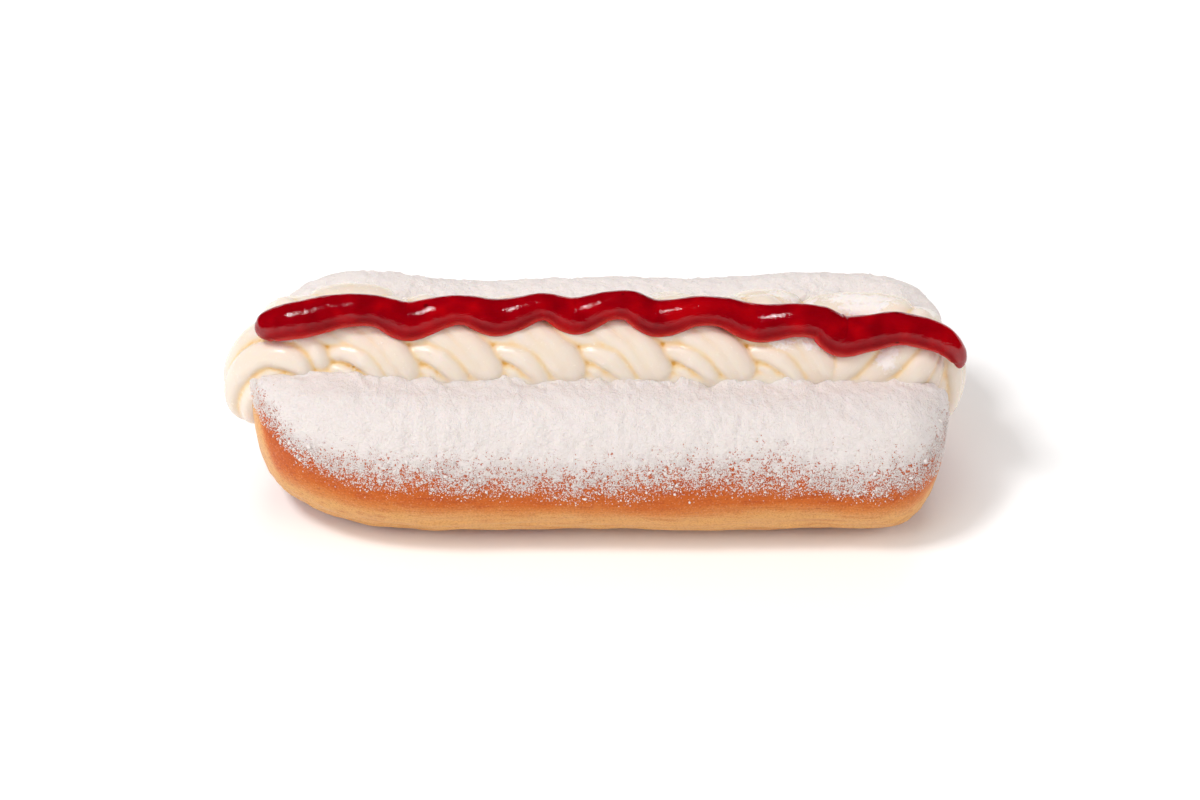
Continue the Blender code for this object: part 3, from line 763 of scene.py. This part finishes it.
def fallStrand(points, seed, steps=110, sides=132):
    # star section along a smooth curve: r(a) = radius * (1 - depth * (1 - |sin(teeth a / 2)|^0.6))
    c = creamShape
    line = smoothCurve(points, steps)
    path, radius = line[:, :3], line[:, 3] * roundedEnds(steps, 8)
    outward = (path - (0.0, 0.002, bunShape["slitBottom"] + 0.012)) * (0.35, 1, 1)
    out, side = framesAlong(path, outward)
    around = angles(sides)
    length = lengthAlong(path)[:, None]
    tooth = np.abs(np.sin(c["teeth"] / 2 * (around + 0.15 * np.sin(length / 0.011 + seed)))) ** 0.6
    reach = radius[:, None] * (1 - c["toothDepth"] * (1 - tooth))
    reach = reach * (1 + softNoise(vectors(around * 0.004, length, seed * 0.1), (0.03, 0.008, 21)))
    up = np.maximum(reach * np.cos(around), -c["fallInner"])
    return tubeAlong(path, out, side, up, reach * np.sin(around))


def coreTube(shape, stations, points):
    # what fills the slit between two heights: a wedge between its faces, and from the lips up a round back
    c, b = creamShape, bunShape
    low, high, offset, radius = shape
    start, end = c["coreEnds"]
    along = np.sin(np.linspace(-math.pi / 2, math.pi / 2, stations))
    x = (start + end) / 2 + (end - start) / 2 * along
    close = np.maximum(1 - np.abs(along) ** 36, 0.0004)[:, None] ** 0.5
    dome = np.radians(np.linspace(-72, 72, points))
    width = b["lipOffset"] * (low - b["slitBottom"]) / (b["lipHeight"] - b["slitBottom"]) - 0.0002
    y = np.concatenate([[-width], offset + radius * np.sin(dome), [width]])
    z = np.concatenate([[low], np.minimum(c["ropeHeight"] + radius * np.cos(dome), high), [low]])
    centre = (low + z.max()) / 2
    return vectors(x[:, None], close * y, centre + close * (z - centre))


def joinTubes(tubes):
    # points, quads and triangles of closed tubes side by side, each end closed round its own middle
    points, quads, triangles, start = [], [], [], 0
    for tube in tubes:
        rows, columns = tube.shape[:2]
        index = np.arange(columns)
        turn = np.roll(index, -1)
        hub = rows * columns
        last = hub - columns
        points += [tube.reshape(-1, 3), tube[[0, -1]].mean(axis=1)]
        quads.append(gridFaces(rows, columns, True) + start)
        triangles += [vectors(hub, turn, index) + start, vectors(hub + 1, last + index, last + turn) + start]
        start += hub + 2
    return np.concatenate(points), np.concatenate(quads), np.concatenate(triangles)


def fusedStrands(tubes):
    # one skin round all the strands, by a voxel remesh: its points and quads
    source = meshObject("strands", *joinTubes(tubes))
    fused = source.modifiers.new("fused", "REMESH")
    fused.mode = "VOXEL"
    fused.voxel_size = creamShape["voxel"]
    bpy.context.view_layer.update()
    mesh = bpy.data.meshes.new_from_object(source.evaluated_get(bpy.context.evaluated_depsgraph_get()))
    bpy.data.objects.remove(source)
    points = np.empty(len(mesh.vertices) * 3, np.float32)
    mesh.vertices.foreach_get("co", points)
    quads = np.empty(len(mesh.loops), np.int32)
    mesh.loops.foreach_get("vertex_index", quads)
    bpy.data.meshes.remove(mesh)
    return points.reshape(-1, 3).astype(float), quads.reshape(-1, 4)


def sumAtPoints(values, quads, count):
    # for each point, the sum of what the faces round it hold
    return vectors(*(np.bincount(quads.reshape(-1), np.repeat(column, 4), count) for column in values.T))


def relaxed(points, quads, times):
    # every point moves half way to the middle of the corners of its faces, this many times
    share = np.bincount(quads.reshape(-1), minlength=len(points))[:, None]
    for _ in range(times):
        total = sumAtPoints(points[quads].mean(axis=1), quads, len(points))
        points = points + 0.5 * (total / share - points)
    return points


def alongStrands(strands, points, block=4000):
    # for each point, the nearest station of a strand's middle line (least |p|^2 - 2 p.q + |q|^2):
    # how far along the strand that is, and how far to its side the point lies
    lines = [strand.mean(axis=1) for strand in strands]
    along = np.concatenate([lengthAlong(line) + 0.2 * number for number, line in enumerate(lines)])
    side = unit(np.concatenate([strand[:, strand.shape[1] // 4] - line
                                for strand, line in zip(strands, lines)]))
    middle = np.concatenate(lines)
    size = (middle ** 2).sum(axis=1)
    nearest = np.concatenate([np.argmin(size - 2 * points[k:k + block] @ middle.T, axis=1)
                              for k in range(0, len(points), block)])
    return along[nearest], ((points - middle[nearest]) * side[nearest]).sum(axis=1)


def dustOnCream(points, normals):
    # sugar caught on the cream: round patches with a ragged edge, only on what faces up or to the side
    c = creamShape
    x, y, z = points.T
    turn = np.arctan2(-(y - c["ropeOffset"]), z - c["ropeHeight"]) * c["crest"]
    ragged = softNoise(points, (0.35, 0.0030, 51), (0.30, 0.0014, 52))
    lying = np.zeros(len(points))
    for at, aroundRope, long, wide, thickness in c["dust"]:
        away = np.hypot((x - at) / long, (turn - aroundRope) / wide)
        lying = np.maximum(lying, thickness * smoothStep(1.25, 0.35, away + ragged))
    return lying * smoothStep(-0.35, 0.1, normals[:, 2])


def makeCream():
    c = creamShape
    strands = ropeRidges() + [fallStrand(points, 20 + side) for side, points in enumerate(c["falls"])]
    points, quads = fusedStrands(strands + [coreTube(c["core"], 120, 60)])
    points = relaxed(points, quads, 1)
    # crease: how far a point lies below the same skin smoothed over 2 mm, in millimetres
    p = np.moveaxis(points[quads], 1, 0)
    normals = unit(sumAtPoints(np.cross(p[2] - p[0], p[3] - p[1]), quads, len(points)))
    crease = ((relaxed(points, quads, 22) - points) * normals).sum(axis=1) / mm
    along, aside = alongStrands(strands, points)
    # the wedge inside the slit doesn't show, so it has large faces
    wedge, wedgeQuads, wedgeTriangles = joinTubes([coreTube(c["wedge"], 60, 6)])
    layers = {"strandAside": aside / mm, "strandAlong": along / mm, "crease": crease,
              "sugarDepth": dustOnCream(points, normals)}
    layers = {name: np.append(values, np.zeros(len(wedge))) for name, values in layers.items()}
    makePiece("pipedCream", ["cream"], "whipped_cream", np.concatenate([points, wedge]),
              np.concatenate([quads, wedgeQuads + len(points)]), wedgeTriangles + len(points),
              creamMaterial(), layers)
    print("cream is piped:", len(points), "points")


def creamMaterial():
    # Sweetened whipped cream from a star nozzle: satin with a fatty shine and slightly translucent, with a
    # painted warm yellow shade where a crease is deep, and dead matt where sugar lies on it.
    made, tree, shader = newMaterial("whipped cream, piped")
    spot = (addNode(tree, "TexCoord"), "Object")
    crease, aside, along, dust = ((addNode(tree, "Attribute", attribute_name=layer), "Fac")
                                  for layer in ("crease", "strandAside", "strandAlong", "sugarDepth"))
    # painted shade: the deeper the crease, the darker and warmer the yellow, standing in for shade in the
    # hollows
    tone = addNode(tree, "MapRange", {"Value": crease, "From Min": -0.25, "From Max": 0.45})
    depth = addNode(tree, "ValToRGB", {"Fac": tone}, [
        (0.0, "#e6dace"), (0.36, "#e4d4c2"), (0.55, "#e8d0ae"), (0.76, "#e8c796"), (1.0, "#dfa850")])
    # fine lines drawn by the nozzle's edge: 1.2 mm apart round the strand, long along it
    onSkin = addNode(tree, "CombineXYZ", {"X": aside, "Y": along})
    lineSpot = addNode(tree, "VectorMath", {0: onSkin, 1: (0.8, 0.09, 1)}, operation="MULTIPLY")
    lines = addNode(tree, "TexNoise", {"Vector": lineSpot, "Scale": 1.0, "Detail": 4.0, "Roughness": 0.62})
    # sugar breaks up into clumps of 1 mm at the edge of each patch
    clump = addNode(tree, "TexNoise", {"Vector": spot, "Scale": 1100.0, "Detail": 3.0, "Roughness": 0.65})
    broken = addNode(tree, "Math", {0: clump, 1: 2.2, 2: -1.1}, operation="MULTIPLY_ADD")
    lying = addNode(tree, "Math", {0: dust, 1: broken})
    cover = addNode(tree, "MapRange", {"Value": lying, "From Min": 0.25, "From Max": 0.75},
                    interpolation_type="SMOOTHSTEP")
    colour = addNode(tree, "Mix", {"Factor": cover, "A": depth, "B": "#ece3de"}, data_type="RGBA")
    gloss = addNode(tree, "MapRange", {"Value": cover, "To Min": 0.23, "To Max": 0.95})
    grain = addNode(tree, "Math", {0: cover, 1: clump}, operation="MULTIPLY")
    relief = addNode(tree, "Math", {0: grain, 1: 2.5, 2: lines}, operation="MULTIPLY_ADD")
    bumped = addNode(tree, "Bump", {"Height": relief, "Strength": 0.32, "Distance": 0.0005})
    fillInputs(shader, {"Base Color": colour, "Roughness": gloss, "Normal": bumped, "IOR": 1.45,
                        "Subsurface Weight": 0.45, "Subsurface Scale": 0.0016,
                        "Subsurface Radius": (1.0, 0.65, 0.35)})
    return made


makeCream()


jamShape = {
    "halfWidth": 0.0043, "halfHeight": 0.0046, "sunk": 0.0008,
    # along the line: x, degrees forward of straight up, distance from the rope's middle line, thickness.
    # It pools where it dips into a crease, and stretches thin over a crest.
    "knots": ((-0.0868, 33, 0.0150, 0.42), (-0.0850, 30, 0.0163, 0.80), (-0.0825, 27, 0.0175, 1.02),
              (-0.0761, 25, 0.0192, 1.12), (-0.0664, 20, 0.0204, 1.04), (-0.0570, 20, 0.0209, 0.96),
              (-0.0486, 24, 0.0176, 1.16), (-0.0400, 19, 0.0196, 0.96), (-0.0340, 18, 0.0201, 0.90),
              (-0.0257, 20, 0.0176, 1.14), (-0.0165, 16, 0.0201, 0.84), (-0.0125, 16, 0.0203, 0.82),
              (-0.0059, 19, 0.0178, 1.12), (0.0020, 15, 0.0203, 0.88), (0.0078, 15, 0.0205, 0.92),
              (0.0148, 21, 0.0178, 1.14), (0.0245, 20, 0.0204, 0.90), (0.0320, 21, 0.0204, 0.92),
              (0.0405, 26, 0.0178, 1.13), (0.0500, 27, 0.0203, 0.98), (0.0562, 29, 0.0202, 1.02),
              (0.0596, 35, 0.0188, 1.20), (0.0625, 38, 0.0179, 1.22), (0.0685, 36, 0.0188, 1.10),
              (0.0763, 33, 0.0197, 0.98), (0.0850, 38, 0.0180, 0.90), (0.0895, 46, 0.0160, 0.74),
              (0.0918, 58, 0.0140, 0.52), (0.0922, 70, 0.0138, 0.30)),
}


def makeJam(steps=620, sides=72):
    # oval section carried along a smooth curve, its size read from the knots, with uneven skin
    j = jamShape
    x, degrees, reach, thickness = smoothCurve(j["knots"], steps).T
    path = roundTheRope(x, np.radians(degrees), reach - j["sunk"])
    out, side = framesAlong(path, np.broadcast_to((0.0, -0.4, 0.9), path.shape))
    around = angles(sides)
    share = roundedEnds(steps, 40)[:, None]
    thickness = thickness[:, None]
    size = (thickness * 0.85 + 0.15) * share
    points = tubeAlong(path, out, side, size * j["halfHeight"] * np.cos(around),
                       thickness * share * j["halfWidth"] * np.sin(around))
    rough = softNoise(points, (0.00016, 0.0050, 32), (0.00005, 0.0017, 33))
    points = points + unit(points - path[:, None]) * (rough * share)[..., None]
    corners, quads, triangles = joinTubes([points])
    turned = (around + math.pi) % (2 * math.pi) - math.pi
    layers = {"strandAlong": lengthAlong(path)[:, None] / mm, "strandAround": turned}
    layers = {name: np.append(np.broadcast_to(values, (steps, sides)), [0, 0])
              for name, values in layers.items()}
    makePiece("jamLine", ["jam"], "raspberry_jam", corners, quads, triangles, jamMaterial(), layers)


def jamMaterial():
    # Sieved raspberry jam: a deep red gel, wet, nearly black-red where it is thick and bright where its edge
    # thins out over the cream.
    made, tree, shader = newMaterial("raspberry jam, sieved")
    spot = (addNode(tree, "TexCoord"), "Object")
    along, around = ((addNode(tree, "Attribute", attribute_name=layer), "Fac")
                     for layer in ("strandAlong", "strandAround"))
    cloud = addNode(tree, "TexNoise", {"Vector": spot, "Scale": 130.0, "Detail": 2.0})
    body = addNode(tree, "ValToRGB", {"Fac": cloud}, [
        (0.32, "#7c0009"), (0.50, "#8e000b"), (0.68, "#a8020b")])
    turned = addNode(tree, "Math", {0: around}, operation="ABSOLUTE")
    thin = addNode(tree, "MapRange", {"Value": turned, "From Min": 1.20, "From Max": 1.80},
                   interpolation_type="SMOOTHSTEP")
    colour = addNode(tree, "Mix", {"Factor": thin, "A": body, "B": "#c4100e"}, data_type="RGBA")
    # a few seeds a millimetre long lie just under the skin: small spots in one in ten cells 4 mm apart
    cell = addNode(tree, "TexVoronoi", {"Vector": spot, "Scale": 260.0})
    cellNumber = addNode(tree, "SeparateColor", {"Color": (cell, "Color")})
    chosen = addNode(tree, "Math", {0: cellNumber, 1: 0.90}, operation="GREATER_THAN")
    near = addNode(tree, "MapRange", {"Value": cell, "From Min": 0.20, "From Max": 0.11, "To Max": 0.75})
    seed = addNode(tree, "Math", {0: chosen, 1: near}, operation="MULTIPLY")
    seeded = addNode(tree, "Mix", {"Factor": seed, "A": colour, "B": "#4a0508"}, data_type="RGBA")
    # ripples 2 mm apart along the line and 1 mm apart round it break the shine into short strokes
    onSkin = addNode(tree, "CombineXYZ", {"X": along, "Y": around})
    rippleSpot = addNode(tree, "VectorMath", {0: onSkin, 1: (0.55, 4.0, 1)}, operation="MULTIPLY")
    ripple = addNode(tree, "TexNoise", {"Vector": rippleSpot, "Scale": 1.0, "Detail": 3.0, "Roughness": 0.6})
    bumped = addNode(tree, "Bump", {"Height": ripple, "Strength": 0.28, "Distance": 0.0006})
    # the wet skin is on top, and the foot of the line, stiff where it sits in the cream, is duller
    shine = addNode(tree, "MapRange", {"Value": turned, "From Min": 0.55, "From Max": 1.15, "To Min": 0.72,
                                       "To Max": 0.12}, interpolation_type="SMOOTHSTEP")
    fillInputs(shader, {"Base Color": seeded, "Normal": bumped, "Roughness": 0.075, "IOR": 1.40,
                        "Specular IOR Level": shine, "Subsurface Weight": 0.20, "Subsurface Scale": 0.0015,
                        "Subsurface Radius": (1.0, 0.05, 0.04)})
    return made


makeJam()
print("jam is on")
